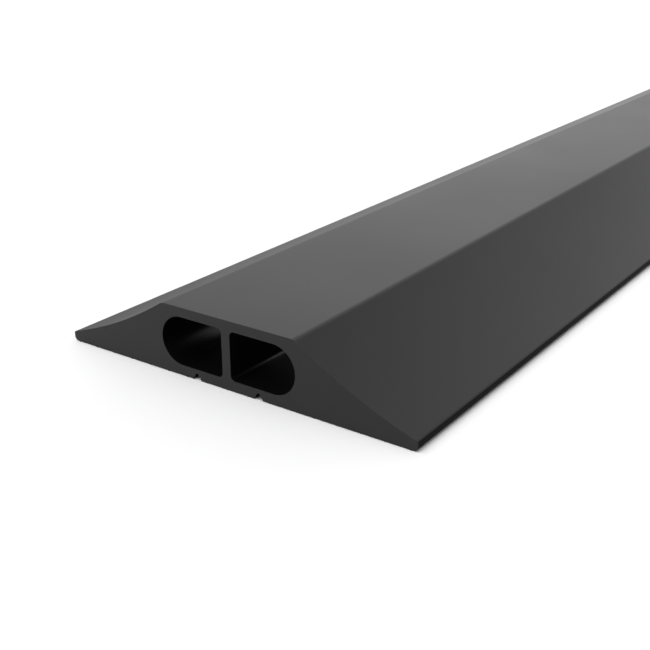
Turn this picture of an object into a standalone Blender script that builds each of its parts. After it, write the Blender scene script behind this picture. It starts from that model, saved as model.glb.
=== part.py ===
"""Floor cord cover: one length of soft black extrusion with two closed cable channels.

The section lies in the XZ plane and runs along Y. The origin is at the middle of the length and of the
width, at the tips of the underside ribs, which are what touches the floor. Sizes are in metres.
"""

from math import atan2, cos, hypot, pi, radians, sin, sqrt

import bpy

# Stock
LENGTH = 1.8
WIDTH = 0.083

# Heights, from the rib tips up: the ribs, the floor wall, the channels and the crown wall
RIB_HEIGHT = 0.0001
FLOOR_WALL = 0.00215
CHANNEL_HEIGHT = 0.010
CROWN_WALL = 0.002
HEIGHT = RIB_HEIGHT + FLOOR_WALL + CHANNEL_HEIGHT + CROWN_WALL

# Channels: square at the web, a full round at the outer end
WEB_THICKNESS = 0.002
CHANNEL_WIDTH = 0.015
CHANNEL_CORNER_RADIUS = 0.001

# Crown, ramps and toes: the corners are the sharp ones that the fillets then round
CROWN_WIDTH = 0.0315
CROWN_FILLET = 0.00225
RAMP_RADIUS = 0.102
TOE_HEIGHT = 0.00205
TOE_TOP_FILLET = 0.00055
TOE_BOTTOM_FILLET = 0.001

# Underside: narrow ribs at one pitch, and a V groove under each channel
RIB_PITCH = 0.005
RIBS_EACH_SIDE = 8
RIB_FOOT_WIDTH = 0.0005
RIB_TIP_WIDTH = 0.0003
GROOVE_OFFSET = 0.0075
GROOVE_WIDTH = 0.002
GROOVE_DEPTH = 0.0013
GROOVE_BOTTOM_WIDTH = 0.0004

# Steps in each round stretch
CHANNEL_END_STEPS = 20
CHANNEL_CORNER_STEPS = 4
FILLET_STEPS = 5
RAMP_STEPS = 10


def remove_all_objects():
    """Empty the scene."""
    for found in list(bpy.data.objects):
        bpy.data.objects.remove(found, do_unlink=True)


def rubber_material():
    """Matt black soft rubber."""
    material = bpy.data.materials.new("black_rubber")
    material.use_nodes = True
    shader = material.node_tree.nodes["Principled BSDF"]
    shader.inputs["Base Color"].default_value = (0.035, 0.035, 0.035, 1.0)
    shader.inputs["Roughness"].default_value = 0.6
    shader.inputs["Metallic"].default_value = 0.0
    material.diffuse_color = (0.035, 0.035, 0.035, 1.0)
    return material


def arc(centre, radius, start, end, steps):
    """Points on an arc about centre from one angle to another, in radians, both ends included."""
    x, z = centre
    angles = [start + (end - start) * step / steps for step in range(steps + 1)]
    return [(x + radius * cos(angle), z + radius * sin(angle)) for angle in angles]


def underside_half():
    """The right half of the underside, from the middle rib outwards."""
    half_tip = RIB_TIP_WIDTH / 2
    half_foot = RIB_FOOT_WIDTH / 2
    base = RIB_HEIGHT
    points = [(half_tip, 0.0), (half_foot, base)]
    for number in range(1, RIBS_EACH_SIDE + 1):
        middle = number * RIB_PITCH
        if middle > GROOVE_OFFSET > middle - RIB_PITCH:
            points += groove(base)
        points += [
            (middle - half_foot, base),
            (middle - half_tip, 0.0),
            (middle + half_tip, 0.0),
            (middle + half_foot, base),
        ]
    return points


def groove(base):
    """One V groove cut up into the underside, with a narrow flat bottom."""
    top = base + GROOVE_DEPTH
    return [
        (GROOVE_OFFSET - GROOVE_WIDTH / 2, base),
        (GROOVE_OFFSET - GROOVE_BOTTOM_WIDTH / 2, top),
        (GROOVE_OFFSET + GROOVE_BOTTOM_WIDTH / 2, top),
        (GROOVE_OFFSET + GROOVE_WIDTH / 2, base),
    ]


def ramp_centre():
    """The centre of the ramp's arc, above and outside the ramp, which runs from crown corner to toe corner."""
    crown_x, toe_x = CROWN_WIDTH / 2, WIDTH / 2
    run, drop = toe_x - crown_x, HEIGHT - TOE_HEIGHT
    chord = hypot(run, drop)
    rise = sqrt(RAMP_RADIUS**2 - (chord / 2) ** 2)
    middle_x, middle_z = (crown_x + toe_x) / 2, (HEIGHT + TOE_HEIGHT) / 2
    return middle_x + rise * drop / chord, middle_z + rise * run / chord


def toe_and_ramp_half():
    """The right toe, its ramp and the crown's edge, going up and inwards."""
    centre_x, centre_z = ramp_centre()

    # The lower toe corner rounds into the underside
    lower = (WIDTH / 2 - TOE_BOTTOM_FILLET, RIB_HEIGHT + TOE_BOTTOM_FILLET)
    points = arc(lower, TOE_BOTTOM_FILLET, -pi / 2, 0.0, FILLET_STEPS)

    # The upper toe corner touches the toe's face and the ramp's arc from outside
    upper_x = WIDTH / 2 - TOE_TOP_FILLET
    reach = RAMP_RADIUS + TOE_TOP_FILLET
    upper_z = centre_z - sqrt(reach**2 - (centre_x - upper_x) ** 2)
    upper_turn = atan2(centre_z - upper_z, centre_x - upper_x)
    points += arc((upper_x, upper_z), TOE_TOP_FILLET, 0.0, upper_turn, FILLET_STEPS)

    # The crown's edge touches the crown and the same arc
    edge_z = HEIGHT - CROWN_FILLET
    reach = RAMP_RADIUS + CROWN_FILLET
    edge_x = centre_x - sqrt(reach**2 - (centre_z - edge_z) ** 2)
    edge_turn = atan2(centre_z - edge_z, centre_x - edge_x)

    # The ramp runs between the two touching points
    ramp = arc((centre_x, centre_z), RAMP_RADIUS, upper_turn - pi, edge_turn - pi, RAMP_STEPS)
    points += ramp[1:-1]
    points += arc((edge_x, edge_z), CROWN_FILLET, edge_turn, pi / 2, FILLET_STEPS)
    return points


def mirrored(points):
    """The same points on the other side of the middle, in the opposite order."""
    return [(-x, z) for x, z in reversed(points)]


def outer_outline():
    """The whole outside of the section, anticlockwise."""
    right = underside_half() + toe_and_ramp_half()
    return right + mirrored(right)


def channel_outline():
    """The right channel, anticlockwise from its lower corner at the web."""
    inner = WEB_THICKNESS / 2
    corner = CHANNEL_CORNER_RADIUS
    bottom = RIB_HEIGHT + FLOOR_WALL
    top = bottom + CHANNEL_HEIGHT
    end_radius = CHANNEL_HEIGHT / 2
    end_centre = (inner + CHANNEL_WIDTH - end_radius, bottom + end_radius)
    lower_corner = arc((inner + corner, bottom + corner), corner, pi, 1.5 * pi, CHANNEL_CORNER_STEPS)
    round_end = arc(end_centre, end_radius, -pi / 2, pi / 2, CHANNEL_END_STEPS)
    upper_corner = arc((inner + corner, top - corner), corner, pi / 2, pi, CHANNEL_CORNER_STEPS)
    return lower_corner + round_end + upper_corner


def add_loop(curve, points):
    """Add one closed loop of straight stretches to a 2D curve."""
    spline = curve.splines.new("POLY")
    spline.points.add(len(points) - 1)
    for point, (x, z) in zip(spline.points, points):
        point.co = (x, z, 0.0, 1.0)
    spline.use_cyclic_u = True


def cover_strip(material):
    """The extrusion: the outside and both channels as one filled section, drawn out along Y."""
    curve = bpy.data.curves.new("cover_strip", "CURVE")
    curve.dimensions = "2D"
    curve.fill_mode = "BOTH"
    curve.resolution_u = 1
    curve.extrude = LENGTH / 2
    add_loop(curve, outer_outline())
    add_loop(curve, channel_outline())
    add_loop(curve, mirrored(channel_outline()))
    curve.materials.append(material)
    strip = bpy.data.objects.new("cover_strip", curve)
    strip.rotation_euler = (radians(90), 0.0, 0.0)
    return strip


def main():
    remove_all_objects()
    parts = bpy.data.collections.new("floor_cord_cover")
    bpy.context.scene.collection.children.link(parts)
    parts.objects.link(cover_strip(rubber_material()))
    bpy.context.view_layer.update()


if __name__ == "__main__":
    main()
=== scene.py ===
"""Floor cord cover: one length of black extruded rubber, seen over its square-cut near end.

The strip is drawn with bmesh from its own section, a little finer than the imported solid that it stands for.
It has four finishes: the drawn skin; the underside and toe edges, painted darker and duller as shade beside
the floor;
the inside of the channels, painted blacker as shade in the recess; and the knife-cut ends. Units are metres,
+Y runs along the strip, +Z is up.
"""

import logging
from dataclasses import dataclass, field
from enum import Enum
from math import atan2, cos, hypot, pi, radians, sin, sqrt

import bmesh
import bpy
from mathutils import Matrix, Vector


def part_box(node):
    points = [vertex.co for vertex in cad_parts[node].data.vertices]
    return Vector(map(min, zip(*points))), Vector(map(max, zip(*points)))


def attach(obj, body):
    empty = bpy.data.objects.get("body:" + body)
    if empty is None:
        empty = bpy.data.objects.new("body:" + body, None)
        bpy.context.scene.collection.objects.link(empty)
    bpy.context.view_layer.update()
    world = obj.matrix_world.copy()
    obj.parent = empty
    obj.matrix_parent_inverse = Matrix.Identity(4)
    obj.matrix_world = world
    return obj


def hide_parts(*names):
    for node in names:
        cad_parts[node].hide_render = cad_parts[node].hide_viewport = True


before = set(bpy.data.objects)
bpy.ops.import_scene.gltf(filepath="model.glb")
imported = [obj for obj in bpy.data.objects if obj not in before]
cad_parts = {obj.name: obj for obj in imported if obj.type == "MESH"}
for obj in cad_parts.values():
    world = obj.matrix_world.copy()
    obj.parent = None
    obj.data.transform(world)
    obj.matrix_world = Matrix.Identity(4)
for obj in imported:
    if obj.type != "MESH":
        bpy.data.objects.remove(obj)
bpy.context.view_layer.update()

LOG = logging.getLogger("floor_cord_cover")
STRIP_NODE = "cover_strip"
MM = 0.001

# How far off a point may lie and still count as on a surface, and how near two points are merged
ON_SURFACE = MM / 100
MERGE_DISTANCE = MM / 1000

Point = tuple[float, float]
Span = tuple[float, float]
Colour = tuple[float, float, float, float]


def grey(level: float) -> Colour:
    """An opaque neutral colour."""
    return level, level, level, 1.0


class Turn(Enum):
    """Which way an arc turns, looking along the strip with the width to the right, by its axis."""

    LEFT = (0.0, -1.0, 0.0)
    RIGHT = (0.0, 1.0, 0.0)


class Surface(Enum):
    """The strip's kinds of surface, by material index."""

    SKIN = 0
    # The foot's and the bore's materials carry painted shade: darker than the skin, under the strip and
    # inside the channels.
    FOOT = 1
    BORE = 2
    CUT = 3


class OutlinePen:
    """Draws a line of edges in the plane of one cut end, from point to point and round arcs."""

    def __init__(self, mesh: bmesh.types.BMesh, start: Point, plane_y: float) -> None:
        """Put the pen down.

        Args:
            mesh: The mesh to draw in.
            start: The first point, across and up.
            plane_y: Where the plane lies along the strip.
        """
        self.mesh = mesh
        self.plane_y = plane_y
        self.tip = mesh.verts.new(self.place(start))

    def place(self, point: Point) -> Vector:
        """The point of the plane in space."""
        return Vector((point[0], self.plane_y, point[1]))

    def line_to(self, point: Point) -> None:
        """Draw a straight edge from the pen's place.

        Args:
            point: The edge's far end, across and up.
        """
        drawn = bmesh.ops.extrude_vert_indiv(self.mesh, verts=[self.tip])
        self.tip = drawn["verts"][0]
        self.tip.co = self.place(point)

    def lines_to(self, points: list[Point]) -> None:
        """Draw straight edges through several points."""
        for point in points:
            self.line_to(point)

    def arc(self, centre: Point, angle: float, turn: Turn, steps: int) -> None:
        """Draw an arc from the pen's place.

        Args:
            centre: The arc's centre, across and up.
            angle: How far round it goes, in radians.
            turn: Which way it goes round.
            steps: How many edges it has.
        """
        drawn = bmesh.ops.spin(
            self.mesh,
            geom=[self.tip],
            cent=self.place(centre),
            axis=turn.value,
            angle=angle,
            steps=steps,
            space=Matrix.Identity(4),
        )
        self.tip = next(part for part in drawn["geom_last"] if isinstance(part, bmesh.types.BMVert))


@dataclass(frozen=True)
class Underside:
    """The ribs and V grooves under the strip."""

    rib_height: float = 0.1 * MM
    rib_pitch: float = 5.0 * MM
    ribs_each_side: int = 8
    rib_foot: float = 0.5 * MM
    rib_tip: float = 0.3 * MM
    groove_offset: float = 7.5 * MM
    groove_width: float = 2.0 * MM
    groove_depth: float = 1.3 * MM
    groove_bottom: float = 0.4 * MM

    def groove(self) -> list[Point]:
        """Place the corners of the right V groove.

        Returns:
            The corners, from the middle of the strip outwards.
        """
        top = self.rib_height + self.groove_depth
        return [
            (self.groove_offset - self.groove_width / 2, self.rib_height),
            (self.groove_offset - self.groove_bottom / 2, top),
            (self.groove_offset + self.groove_bottom / 2, top),
            (self.groove_offset + self.groove_width / 2, self.rib_height),
        ]

    def holds(self, point: Vector) -> bool:
        """Whether a point lies no higher than the tops of the grooves."""
        return point.z < self.rib_height + self.groove_depth + ON_SURFACE

    def rib(self, middle: float) -> list[Point]:
        """Place the corners of one rib.

        Args:
            middle: Where its middle lies across the strip.

        Returns:
            The corners, from the middle of the strip outwards.
        """
        return [
            (middle - self.rib_foot / 2, self.rib_height),
            (middle - self.rib_tip / 2, 0.0),
            (middle + self.rib_tip / 2, 0.0),
            (middle + self.rib_foot / 2, self.rib_height),
        ]

    def draw_half(self, pen: OutlinePen) -> None:
        """Draw the right half, from the middle rib's tip outwards.

        Args:
            pen: The pen, standing on the middle of that tip.
        """
        pen.lines_to(self.rib(0.0)[2:])
        for number in range(1, self.ribs_each_side + 1):
            middle = number * self.rib_pitch
            if middle - self.rib_pitch < self.groove_offset < middle:
                pen.lines_to(self.groove())
            pen.lines_to(self.rib(middle))


@dataclass(frozen=True)
class Channel:
    """One cable channel: square at the web, a full round at the outer end."""

    web: float = 2.0 * MM
    width: float = 15.0 * MM
    height: float = 10.0 * MM
    corner: float = 1.0 * MM
    corner_steps: int = 10
    end_steps: int = 56

    def holds(self, point: Vector, floor: float) -> bool:
        """Whether a point lies on the channel's walls or inside them."""
        across = self.web / 2 - ON_SURFACE < abs(point.x) < self.web / 2 + self.width + ON_SURFACE
        return across and floor - ON_SURFACE < point.z < floor + self.height + ON_SURFACE

    def draw(self, mesh: bmesh.types.BMesh, floor: float, plane_y: float) -> None:
        """Draw the right channel as a closed loop.

        Args:
            mesh: The mesh to draw in.
            floor: The height of the channel's floor.
            plane_y: Where the section's plane lies along the strip.
        """
        inner = self.web / 2
        roof = floor + self.height
        radius = self.height / 2
        end_x = inner + self.width - radius
        pen = OutlinePen(mesh, (inner, floor + self.corner), plane_y)
        pen.arc((inner + self.corner, floor + self.corner), pi / 2, Turn.LEFT, self.corner_steps)
        pen.line_to((end_x, floor))
        pen.arc((end_x, floor + radius), pi, Turn.LEFT, self.end_steps)
        pen.line_to((inner + self.corner, roof))
        pen.arc((inner + self.corner, roof - self.corner), pi / 2, Turn.LEFT, self.corner_steps)
        pen.line_to((inner, floor + self.corner))


@dataclass(frozen=True)
class Crown:
    """The flat crown, its rounded edges, the concave ramps and the thin toes."""

    width: float = 31.5 * MM
    edge_fillet: float = 2.25 * MM
    ramp_radius: float = 102.0 * MM
    toe_height: float = 2.05 * MM
    toe_top_fillet: float = 0.55 * MM
    toe_bottom_fillet: float = 1.0 * MM
    fillet_steps: int = 14
    ramp_steps: int = 72

    def ramp_centre(self, half_width: float, height: float) -> Point:
        """Find the centre of the right ramp's arc, above and outside the ramp.

        Args:
            half_width: Half of the strip's width.
            height: The strip's height.

        Returns:
            The centre, across and up.
        """
        run, drop = half_width - self.width / 2, height - self.toe_height
        chord = hypot(run, drop)
        rise = sqrt(self.ramp_radius**2 - chord**2 / 4)
        middle_x, middle_z = (self.width / 2 + half_width) / 2, (height + self.toe_height) / 2
        return middle_x + rise * drop / chord, middle_z + rise * run / chord

    def toe_centre(self, half_width: float, height: float) -> Point:
        """Find the centre of the round above the right toe, level with the top of its upright edge.

        Args:
            half_width: Half of the strip's width.
            height: The strip's height.

        Returns:
            The centre, across and up.
        """
        centre_x, centre_z = self.ramp_centre(half_width, height)
        toe_x = half_width - self.toe_top_fillet
        reach = self.ramp_radius + self.toe_top_fillet
        return toe_x, centre_z - sqrt(reach**2 - (centre_x - toe_x) ** 2)

    def toe_holds(self, point: Vector, half_width: float, height: float) -> bool:
        """Whether a point lies on a toe's upright edge or low on the round above it.

        Args:
            point: The point.
            half_width: Half of the strip's width.
            height: The strip's height.

        Returns:
            True up to halfway up the round of either toe.
        """
        toe_x, toe_z = self.toe_centre(half_width, height)
        return point.z < toe_z + self.toe_top_fillet / 2 and abs(point.x) > toe_x

    def draw_half(self, pen: OutlinePen, half_width: float, height: float, base: float) -> None:
        """Draw the right toe, ramp and crown, up to the middle of the crown.

        Args:
            pen: The pen, standing on the underside.
            half_width: Half of the strip's width.
            height: The strip's height.
            base: The height of the underside between its ribs.
        """
        centre_x, centre_z = self.ramp_centre(half_width, height)
        toe_x, toe_z = self.toe_centre(half_width, height)
        toe_turn = atan2(centre_z - toe_z, centre_x - toe_x)

        edge_z = height - self.edge_fillet
        reach = self.ramp_radius + self.edge_fillet
        edge_x = centre_x - sqrt(reach**2 - (centre_z - edge_z) ** 2)
        edge_turn = atan2(centre_z - edge_z, centre_x - edge_x)

        lower_x = half_width - self.toe_bottom_fillet
        pen.line_to((lower_x, base))
        pen.arc((lower_x, base + self.toe_bottom_fillet), pi / 2, Turn.LEFT, self.fillet_steps)
        pen.line_to((half_width, toe_z))
        pen.arc((toe_x, toe_z), toe_turn, Turn.LEFT, self.fillet_steps)
        pen.arc((centre_x, centre_z), toe_turn - edge_turn, Turn.RIGHT, self.ramp_steps)
        pen.arc((edge_x, edge_z), pi / 2 - edge_turn, Turn.LEFT, self.fillet_steps)
        pen.line_to((0.0, height))


@dataclass
class CoverStrip:
    """The whole extrusion, drawn from its section and closed at its two cut ends."""

    low: Vector
    high: Vector
    floor_wall: float = 2.15 * MM
    cut_softness: float = 0.03 * MM
    stretches: int = 24
    sharp_angle: float = radians(32)
    underside: Underside = field(default_factory=Underside)
    channel: Channel = field(default_factory=Channel)
    crown: Crown = field(default_factory=Crown)

    def draw_section(self, mesh: bmesh.types.BMesh) -> None:
        """Draw the whole section in the near end's plane: the right half, then its mirror image.

        Args:
            mesh: The empty mesh to draw in.
        """
        base = self.underside.rib_height
        pen = OutlinePen(mesh, (0.0, 0.0), self.low.y)
        self.underside.draw_half(pen)
        self.crown.draw_half(pen, self.high.x, self.high.z, base)
        self.channel.draw(mesh, base + self.floor_wall, self.low.y)
        bmesh.ops.remove_doubles(mesh, verts=mesh.verts, dist=MERGE_DISTANCE)
        half = mesh.verts[:] + mesh.edges[:]
        bmesh.ops.mirror(mesh, geom=half, matrix=Matrix.Identity(4), merge_dist=MERGE_DISTANCE, axis="X")

    def draw_out(self, mesh: bmesh.types.BMesh) -> None:
        """Draw the section out along the strip's length in even stretches.

        Args:
            mesh: The mesh, which holds the section's edges.
        """
        step = Vector((0.0, (self.high.y - self.low.y) / self.stretches, 0.0))
        edges = mesh.edges[:]
        for _ in range(self.stretches):
            drawn = bmesh.ops.extrude_edge_only(mesh, edges=edges)["geom"]
            moved = [part for part in drawn if isinstance(part, bmesh.types.BMVert)]
            bmesh.ops.translate(mesh, verts=moved, vec=step)
            edges = [
                part
                for part in drawn
                if isinstance(part, bmesh.types.BMEdge) and all(end in moved for end in part.verts)
            ]

    def put_in_order(self, mesh: bmesh.types.BMesh) -> None:
        """Sort the drawn edges and faces by their corners, because extruding leaves them in no fixed order.

        Args:
            mesh: The open strip.
        """
        mesh.verts.index_update()
        corner_count = len(mesh.verts)

        def rank(part: bmesh.types.BMEdge | bmesh.types.BMFace) -> int:
            """Make one number of a part's two lowest corners."""
            first, second = sorted(corner.index for corner in part.verts)[:2]
            return first * corner_count + second

        mesh.edges.sort(key=rank)
        mesh.faces.sort(key=rank)

    def surface_at(self, point: Vector) -> Surface:
        """Tell which kind of drawn surface a point lies on.

        Args:
            point: A point of the strip between its cut ends.

        Returns:
            The kind of surface.
        """
        # The inside of the channels is painted blacker, as shade in the recess.
        if self.channel.holds(point, self.underside.rib_height + self.floor_wall):
            return Surface.BORE
        # The underside and the low toe edges are painted darker, as shade beside the floor.
        if self.underside.holds(point) or self.crown.toe_holds(point, self.high.x, self.high.z):
            return Surface.FOOT
        return Surface.SKIN

    def close_end(self, mesh: bmesh.types.BMesh, plane_y: float, outward: float) -> None:
        """Fill one cut end and break its edges.

        Args:
            mesh: The open strip.
            plane_y: Where the end lies.
            outward: -1 for the near end and 1 for the far end.
        """
        rim = [
            edge
            for edge in mesh.edges
            if edge.is_boundary and all(abs(end.co.y - plane_y) < ON_SURFACE for end in edge.verts)
        ]
        filled = bmesh.ops.triangle_fill(
            mesh, edges=rim, use_beauty=True, use_dissolve=False, normal=(0.0, outward, 0.0)
        )
        faces = [part for part in filled["geom"] if isinstance(part, bmesh.types.BMFace)]
        bmesh.ops.recalc_face_normals(mesh, faces=mesh.faces)
        bmesh.ops.inset_region(
            mesh, faces=faces, thickness=self.cut_softness, depth=0.0, use_boundary=True, use_even_offset=True
        )
        for face in faces:
            face.material_index = Surface.CUT.value
        inner = {corner for face in faces for corner in face.verts}
        outer = [
            corner for corner in mesh.verts if abs(corner.co.y - plane_y) < ON_SURFACE and corner not in inner
        ]
        bmesh.ops.translate(mesh, verts=outer, vec=(0.0, -outward * self.cut_softness, 0.0))

    def build(self, materials: dict[Surface, bpy.types.Material]) -> bpy.types.Object:
        """Make the strip's object.

        Args:
            materials: The finish of each kind of surface.

        Returns:
            The finished object, with its place in its mesh.
        """
        mesh = bmesh.new()
        self.draw_section(mesh)
        self.draw_out(mesh)
        self.put_in_order(mesh)
        for face in mesh.faces:
            face.material_index = self.surface_at(face.calc_center_median()).value
        self.close_end(mesh, self.low.y, -1.0)
        self.close_end(mesh, self.high.y, 1.0)
        bmesh.ops.recalc_face_normals(mesh, faces=mesh.faces)
        data = bpy.data.meshes.new("rubber_cover")
        mesh.to_mesh(data)
        mesh.free()
        for surface in Surface:
            data.materials.append(materials[surface])
        data.shade_smooth()
        data.set_sharp_from_angle(angle=self.sharp_angle)
        strip = bpy.data.objects.new("rubber_cover", data)
        bpy.context.scene.collection.objects.link(strip)
        return strip


class NodeSheet:
    """A node tree with short ways to place and join its nodes."""

    def __init__(self, tree: bpy.types.NodeTree) -> None:
        """Take up a node tree."""
        self.tree = tree

    def add(self, kind: str, **settings: object) -> bpy.types.Node:
        """Place a node.

        Args:
            kind: The node's type.
            **settings: Its own settings by name.

        Returns:
            The new node.
        """
        node = self.tree.nodes.new(kind)
        for name, value in settings.items():
            setattr(node, name, value)
        return node

    def feed(self, socket: bpy.types.NodeSocket, value: object) -> None:
        """Join an output to a socket, or set the socket's plain value.

        Args:
            socket: The socket.
            value: The output or the plain value.
        """
        if isinstance(value, bpy.types.NodeSocket):
            self.tree.links.new(value, socket)
        else:
            socket.default_value = value

    def sum(self, operation: str, first: object, second: object) -> bpy.types.NodeSocket:
        """Work out a sum of two numbers.

        Args:
            operation: The Math node's operation.
            first: An output or a number.
            second: An output or a number.

        Returns:
            The result.
        """
        node = self.add("ShaderNodeMath", operation=operation)
        self.feed(node.inputs[0], first)
        self.feed(node.inputs[1], second)
        return node.outputs["Value"]

    def span(self, value: bpy.types.NodeSocket, source: Span, target: Span) -> bpy.types.NodeSocket:
        """Map one range of a value onto another.

        Args:
            value: The value.
            source: The range that it is taken from.
            target: The range that it is spread over.

        Returns:
            The mapped value.
        """
        node = self.add("ShaderNodeMapRange")
        for name, number in zip(("From Min", "From Max", "To Min", "To Max"), (*source, *target)):
            node.inputs[name].default_value = number
        self.feed(node.inputs["Value"], value)
        return node.outputs["Result"]

    def noise(self, place: bpy.types.NodeSocket, scale: object, detail: float) -> bpy.types.NodeSocket:
        """Lay out a noise.

        Args:
            place: Where it is read.
            scale: How many of its features go into a metre.
            detail: How many finer layers it has.

        Returns:
            The noise, about 0.5.
        """
        node = self.add("ShaderNodeTexNoise")
        self.feed(node.inputs["Vector"], place)
        self.feed(node.inputs["Scale"], scale)
        node.inputs["Detail"].default_value = detail
        return node.outputs["Fac"]


class Effect(Enum):
    """The effects that the rubber's finishes share, by the name of their node group."""

    GRAIN = "rubber_grain"
    BLOOM = "rubber_bloom"
    LINES = "drawn_lines"


class EffectBook:
    """Builds each shared effect once, as a node group, and hands it to the finishes.

    Grain and lines each lay a fine noise over a broad one: the first number says how many times finer it is,
    and the second is the broad one's share of the height.
    """

    grain_layers: tuple[float, float] = (2.7, 0.7)
    line_layers: tuple[float, float] = (3.3, 0.65)
    bloom_detail: float = 4.0
    bloom_contrast: Span = (0.3, 0.7)

    def __init__(self) -> None:
        """Build every effect."""
        self.groups = {
            Effect.GRAIN: self.grain(),
            Effect.BLOOM: self.bloom(),
            Effect.LINES: self.lines(),
        }

    def start(self, effect: Effect, sizes: dict[str, float], results: tuple[str, ...]) -> NodeSheet:
        """Start a group.

        Args:
            effect: The effect.
            sizes: Its inputs beside Place, with their usual values.
            results: Its outputs.

        Returns:
            The group's sheet, with an input and an output node.
        """
        tree = bpy.data.node_groups.new(effect.value, "ShaderNodeTree")
        tree.interface.new_socket("Place", in_out="INPUT", socket_type="NodeSocketVector")
        for name, usual in sizes.items():
            made = tree.interface.new_socket(name, in_out="INPUT", socket_type="NodeSocketFloat")
            made.default_value = usual
        for name in results:
            tree.interface.new_socket(name, in_out="OUTPUT", socket_type="NodeSocketFloat")
        sheet = NodeSheet(tree)
        sheet.add("NodeGroupInput", name="in")
        sheet.add("NodeGroupOutput", name="out")
        return sheet

    def layered(
        self,
        sheet: NodeSheet,
        place: bpy.types.NodeSocket,
        size: bpy.types.NodeSocket,
        layers: tuple[float, float],
    ) -> bpy.types.NodeSocket:
        """Lay a fine noise over a broad one.

        Args:
            sheet: The group's sheet.
            place: Where both are read.
            size: How large the broad one's features are.
            layers: How many times finer the fine one is, and the broad one's share.

        Returns:
            The height, from 0 to 1.
        """
        finer, share = layers
        scale = sheet.sum("DIVIDE", 1.0, size)
        broad = sheet.noise(place, scale, 1.0)
        fine = sheet.noise(place, sheet.sum("MULTIPLY", scale, finer), 0.0)
        return sheet.sum("ADD", sheet.sum("MULTIPLY", broad, share), sheet.sum("MULTIPLY", fine, 1.0 - share))

    def grain(self) -> bpy.types.NodeTree:
        """Build the fine even grain of matt rubber: rounded grains with finer ones between them.

        Returns:
            The group.
        """
        sheet = self.start(Effect.GRAIN, {"Size": 0.3 * MM}, ("Height",))
        given = sheet.tree.nodes["in"].outputs
        height = self.layered(sheet, given["Place"], given["Size"], self.grain_layers)
        sheet.feed(sheet.tree.nodes["out"].inputs["Height"], height)
        return sheet.tree

    def bloom(self) -> bpy.types.NodeTree:
        """Build the faint uneven bloom on rubber, in soft clouds.

        Returns:
            The group.
        """
        sheet = self.start(Effect.BLOOM, {"Size": 40 * MM}, ("Amount",))
        given = sheet.tree.nodes["in"].outputs
        clouds = sheet.noise(given["Place"], sheet.sum("DIVIDE", 1.0, given["Size"]), self.bloom_detail)
        amount = sheet.span(clouds, self.bloom_contrast, (0.0, 1.0))
        sheet.feed(sheet.tree.nodes["out"].inputs["Amount"], amount)
        return sheet.tree

    def lines(self) -> bpy.types.NodeTree:
        """Build faint lines that run along Y: broad ones from a die or a blade, with fine ones between.

        Returns:
            The group.
        """
        sheet = self.start(Effect.LINES, {"Width": 1.0 * MM, "Length": 150 * MM}, ("Height",))
        given = sheet.tree.nodes["in"].outputs
        stretch = sheet.add("ShaderNodeCombineXYZ")
        sheet.feed(stretch.inputs["X"], 1.0)
        sheet.feed(stretch.inputs["Y"], sheet.sum("DIVIDE", given["Width"], given["Length"]))
        sheet.feed(stretch.inputs["Z"], 1.0)
        along = sheet.add("ShaderNodeVectorMath", operation="MULTIPLY")
        sheet.feed(along.inputs[0], given["Place"])
        sheet.feed(along.inputs[1], stretch.outputs["Vector"])
        height = self.layered(sheet, along.outputs["Vector"], given["Width"], self.line_layers)
        sheet.feed(sheet.tree.nodes["out"].inputs["Height"], height)
        return sheet.tree

    def place(self, sheet: NodeSheet, effect: Effect, place: object, **sizes: float) -> bpy.types.Node:
        """Put an effect into a material.

        Args:
            sheet: The material's sheet.
            effect: The effect.
            place: Where it is read.
            **sizes: Its other inputs by name.

        Returns:
            The group node.
        """
        node = sheet.add("ShaderNodeGroup", node_tree=self.groups[effect])
        sheet.feed(node.inputs["Place"], place)
        for name, value in sizes.items():
            node.inputs[name].default_value = value
        return node


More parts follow.
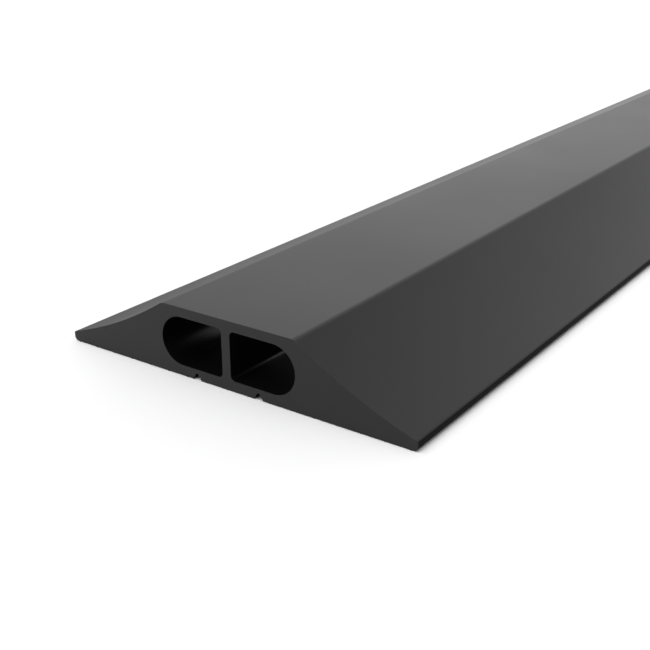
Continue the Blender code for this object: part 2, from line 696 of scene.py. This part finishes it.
@dataclass(frozen=True)
class RubberFinish:
    """Matt black rubber: a fine grain under a faint bloom, with lines from how it was made.

    Its tone runs from dark to light and its roughness from smooth to rough. Its shine is its specular level.
    """

    name: str
    dark: float
    light: float
    smooth: float
    rough: float
    shine: float = 0.35
    grain_size: float = 0.4 * MM
    grain_depth: float = 0.005 * MM
    bloom_size: float = 40 * MM
    line_turn: tuple[float, float, float] = (0.0, 0.0, 0.0)
    line_width: float = 1.1 * MM
    line_length: float = 180 * MM
    line_depth: float = 0.0035 * MM

    def bump(self, sheet: NodeSheet, height: object, depth: float, normal: object) -> bpy.types.NodeSocket:
        """Raise a surface by an effect's height.

        Args:
            sheet: The material's sheet.
            height: The height, from 0 to 1.
            depth: What a height of 1 is in metres.
            normal: The normal of what lies under it, or None.

        Returns:
            The new normal.
        """
        node = sheet.add("ShaderNodeBump")
        node.inputs["Distance"].default_value = depth
        sheet.feed(node.inputs["Height"], height)
        if normal is not None:
            sheet.feed(node.inputs["Normal"], normal)
        return node.outputs["Normal"]

    def material(self, effects: EffectBook) -> bpy.types.Material:
        """Make the material.

        Args:
            effects: The shared effects.

        Returns:
            The material.
        """
        made = bpy.data.materials.new(self.name)
        made.use_nodes = True
        sheet = NodeSheet(made.node_tree)
        shader = made.node_tree.nodes["Principled BSDF"]
        shader.inputs["Specular IOR Level"].default_value = self.shine
        place = sheet.add("ShaderNodeTexCoord").outputs["Object"]
        turned = sheet.add("ShaderNodeMapping")
        turned.inputs["Rotation"].default_value = self.line_turn
        sheet.feed(turned.inputs["Vector"], place)

        grain = effects.place(sheet, Effect.GRAIN, place, Size=self.grain_size).outputs["Height"]
        bloom = effects.place(sheet, Effect.BLOOM, place, Size=self.bloom_size).outputs["Amount"]
        lines = effects.place(
            sheet, Effect.LINES, turned.outputs["Vector"], Width=self.line_width, Length=self.line_length
        ).outputs["Height"]

        tone = sheet.add("ShaderNodeMix", data_type="RGBA")
        tone.inputs["A"].default_value = grey(self.dark)
        tone.inputs["B"].default_value = grey(self.light)
        mean = sheet.sum("MULTIPLY", sheet.sum("ADD", bloom, lines), 0.5)
        sheet.feed(tone.inputs["Factor"], mean)
        sheet.feed(shader.inputs["Base Color"], tone.outputs["Result"])
        sheet.feed(shader.inputs["Roughness"], sheet.span(bloom, (0.0, 1.0), (self.smooth, self.rough)))
        normal = self.bump(sheet, lines, self.line_depth, None)
        sheet.feed(shader.inputs["Normal"], self.bump(sheet, grain, self.grain_depth, normal))
        return made


def rubber_finishes() -> dict[Surface, bpy.types.Material]:
    """Make the finish of each kind of surface.

    Returns:
        The materials: the drawn skin, the underside and toe edges painted darker and duller as shade beside
            the floor,
        the inside of the channels painted blacker as shade in the recess, and the knife-cut ends.
    """
    effects = EffectBook()
    skin = RubberFinish("extruded_skin", dark=0.006, light=0.010, smooth=0.48, rough=0.52)
    # Painted shade: the underside and toe edges are darker and duller than the skin, standing in for the
    # shade beside the floor.
    foot = RubberFinish("foot_painted_shade", dark=0.001, light=0.003, smooth=0.58, rough=0.62, shine=0.06)
    # Painted shade: the inside of the channels is blacker than the skin, standing in for the shade in the
    # recess.
    bore = RubberFinish("channel_painted_shade", dark=0.001, light=0.003, smooth=0.30, rough=0.34, shine=0.25)
    cut = RubberFinish(
        "knife_cut",
        dark=0.006,
        light=0.010,
        smooth=0.48,
        rough=0.52,
        shine=0.45,
        line_turn=(radians(90), 0.0, radians(14)),
        line_width=0.5 * MM,
        line_length=25 * MM,
        line_depth=0.0015 * MM,
    )
    finishes = {Surface.SKIN: skin, Surface.FOOT: foot, Surface.BORE: bore, Surface.CUT: cut}
    return {surface: finish.material(effects) for surface, finish in finishes.items()}


@dataclass(frozen=True)
class PhotoCamera:
    """The photograph's camera, placed from the middle of the near end's lower edge."""

    picture_width: float = 650.0
    focal_pixels: float = 1035.0
    sensor: float = 36.0
    right: float = 116.2 * MM
    back: float = 132.45 * MM
    up: float = 86.1 * MM
    pitch: float = radians(22.58)
    yaw: float = radians(35.26)
    roll: float = radians(-0.17)

    def build(self, near_y: float) -> bpy.types.Object:
        """Make the camera and set it as the scene's.

        Args:
            near_y: Where the near end lies along the strip.

        Returns:
            The camera.
        """
        lens = bpy.data.cameras.new("photo_camera")
        lens.sensor_width = self.sensor
        lens.lens = self.focal_pixels / self.picture_width * self.sensor
        lens.clip_start = MM
        camera = bpy.data.objects.new("photo_camera", lens)
        camera.matrix_world = (
            Matrix.Translation((self.right, near_y - self.back, self.up))
            @ Matrix.Rotation(self.yaw, 4, "Z")
            @ Matrix.Rotation(pi / 2 - self.pitch, 4, "X")
            @ Matrix.Rotation(self.roll, 4, "Z")
        )
        bpy.context.scene.collection.objects.link(camera)
        bpy.context.scene.camera = camera
        return camera


@dataclass(frozen=True)
class SkyGlow:
    """A soft bright patch of the studio's sky, fading out all round."""

    azimuth: float
    elevation: float
    reach: float
    strength: float

    def direction(self) -> Vector:
        """Which way the middle of the glow lies."""
        flat = cos(self.elevation)
        return Vector((flat * cos(self.azimuth), flat * sin(self.azimuth), sin(self.elevation)))


@dataclass(frozen=True)
class Studio:
    """A plain pale floor under a soft sky, brighter high up in front and low behind the strip."""

    floor_size: float = 60.0
    floor_tone: float = 0.9
    floor_bounce: float = 0.72
    backdrop: float = 1.0
    base_light: float = 0.55
    glows: tuple[SkyGlow, ...] = (
        SkyGlow(azimuth=radians(251), elevation=radians(67), reach=radians(40), strength=2.85),
        SkyGlow(azimuth=radians(124), elevation=radians(20), reach=radians(25), strength=1.3),
        SkyGlow(azimuth=radians(98), elevation=radians(9), reach=radians(28), strength=1.12),
    )

    def floor_finish(self) -> bpy.types.Material:
        """Make the floor's material: pale where it is seen, and darker in what it throws back.

        Returns:
            The material.
        """
        made = bpy.data.materials.new("pale_floor")
        made.use_nodes = True
        tree = made.node_tree
        tree.nodes.remove(tree.nodes["Principled BSDF"])
        seen = tree.nodes.new("ShaderNodeBsdfDiffuse")
        seen.inputs["Color"].default_value = grey(self.floor_tone)
        thrown = tree.nodes.new("ShaderNodeBsdfDiffuse")
        thrown.inputs["Color"].default_value = grey(self.floor_bounce)
        path = tree.nodes.new("ShaderNodeLightPath")
        mix = tree.nodes.new("ShaderNodeMixShader")
        tree.links.new(path.outputs["Is Camera Ray"], mix.inputs["Fac"])
        tree.links.new(thrown.outputs["BSDF"], mix.inputs[1])
        tree.links.new(seen.outputs["BSDF"], mix.inputs[2])
        tree.links.new(mix.outputs["Shader"], tree.nodes["Material Output"].inputs["Surface"])
        return made

    def floor(self) -> bpy.types.Object:
        """Make the floor.

        Returns:
            The floor.
        """
        mesh = bmesh.new()
        bmesh.ops.create_grid(mesh, x_segments=1, y_segments=1, size=self.floor_size / 2)
        data = bpy.data.meshes.new("studio_floor")
        mesh.to_mesh(data)
        mesh.free()
        data.materials.append(self.floor_finish())
        floor = bpy.data.objects.new("studio_floor", data)
        bpy.context.scene.collection.objects.link(floor)
        return floor

    def glow_nodes(
        self, tree: bpy.types.NodeTree, heading: bpy.types.NodeSocket, glow: SkyGlow
    ) -> bpy.types.NodeSocket:
        """Lay out the nodes of one glow.

        Args:
            tree: The sky's node tree.
            heading: The direction that is looked in.
            glow: The glow.

        Returns:
            How bright the glow is in that direction.
        """
        facing = tree.nodes.new("ShaderNodeVectorMath")
        facing.operation = "DOT_PRODUCT"
        facing.inputs[1].default_value = glow.direction()
        tree.links.new(heading, facing.inputs[0])
        fade = tree.nodes.new("ShaderNodeMapRange")
        fade.interpolation_type = "SMOOTHSTEP"
        fade.inputs["From Min"].default_value = cos(glow.reach)
        fade.inputs["From Max"].default_value = 1.0
        fade.inputs["To Max"].default_value = glow.strength
        tree.links.new(facing.outputs["Value"], fade.inputs["Value"])
        return fade.outputs["Result"]

    def sky(self) -> None:
        """Make the sky, which the camera sees as a plain backdrop."""
        world = bpy.data.worlds.new("soft_sky")
        world.use_nodes = True
        tree = world.node_tree
        heading = tree.nodes.new("ShaderNodeTexCoord").outputs["Generated"]
        total = None
        for glow in self.glows:
            add = tree.nodes.new("ShaderNodeMath")
            add.operation = "ADD"
            tree.links.new(self.glow_nodes(tree, heading, glow), add.inputs[0])
            if total is None:
                add.inputs[1].default_value = self.base_light
            else:
                tree.links.new(total, add.inputs[1])
            total = add.outputs["Value"]
        path = tree.nodes.new("ShaderNodeLightPath")
        choose = tree.nodes.new("ShaderNodeMix")
        choose.inputs["B"].default_value = self.backdrop
        tree.links.new(path.outputs["Is Camera Ray"], choose.inputs["Factor"])
        tree.links.new(total, choose.inputs["A"])
        background = tree.nodes["Background"]
        background.inputs["Color"].default_value = grey(1.0)
        tree.links.new(choose.outputs["Result"], background.inputs["Strength"])
        bpy.context.scene.world = world


@dataclass(frozen=True)
class ChannelLamp:
    """A faint flat lamp under the roof of each channel, unseen, which shows how deep the channels go.

    It starts and ends that far in from the near end, and its power is in watts.
    """

    start: float = 22.0 * MM
    end: float = 82.0 * MM
    width: float = 10.0 * MM
    gap: float = 0.1 * MM
    power: float = 0.0024

    def build(self, strip: CoverStrip) -> None:
        """Make both lamps, behind the near end.

        Args:
            strip: The strip whose channels they light.
        """
        channel = strip.channel
        roof = strip.underside.rib_height + strip.floor_wall + channel.height
        offset = channel.web / 2 + channel.corner + self.width / 2
        for side in (-1.0, 1.0):
            light = bpy.data.lights.new("channel_lamp", "AREA")
            light.shape = "RECTANGLE"
            light.size = self.width
            light.size_y = self.end - self.start
            light.energy = self.power
            lamp = bpy.data.objects.new("channel_lamp", light)
            lamp.location = (side * offset, strip.low.y + (self.start + self.end) / 2, roof - self.gap)
            lamp.visible_camera = False
            bpy.context.scene.collection.objects.link(lamp)


def main() -> None:
    """Build and dress the strip, then the studio and the camera."""
    logging.basicConfig(level=logging.INFO, format="%(name)s: %(message)s")
    low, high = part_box(STRIP_NODE)
    cover = CoverStrip(Vector(low), Vector(high))
    strip = cover.build(rubber_finishes())
    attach(strip, "root")
    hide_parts(STRIP_NODE)
    LOG.info("%s: %d faces", strip.name, len(strip.data.polygons))

    studio = Studio()
    studio.floor()
    studio.sky()
    ChannelLamp().build(cover)
    PhotoCamera().build(low[1])
    bpy.context.scene.view_settings.view_transform = "Standard"


if __name__ == "__main__":
    main()
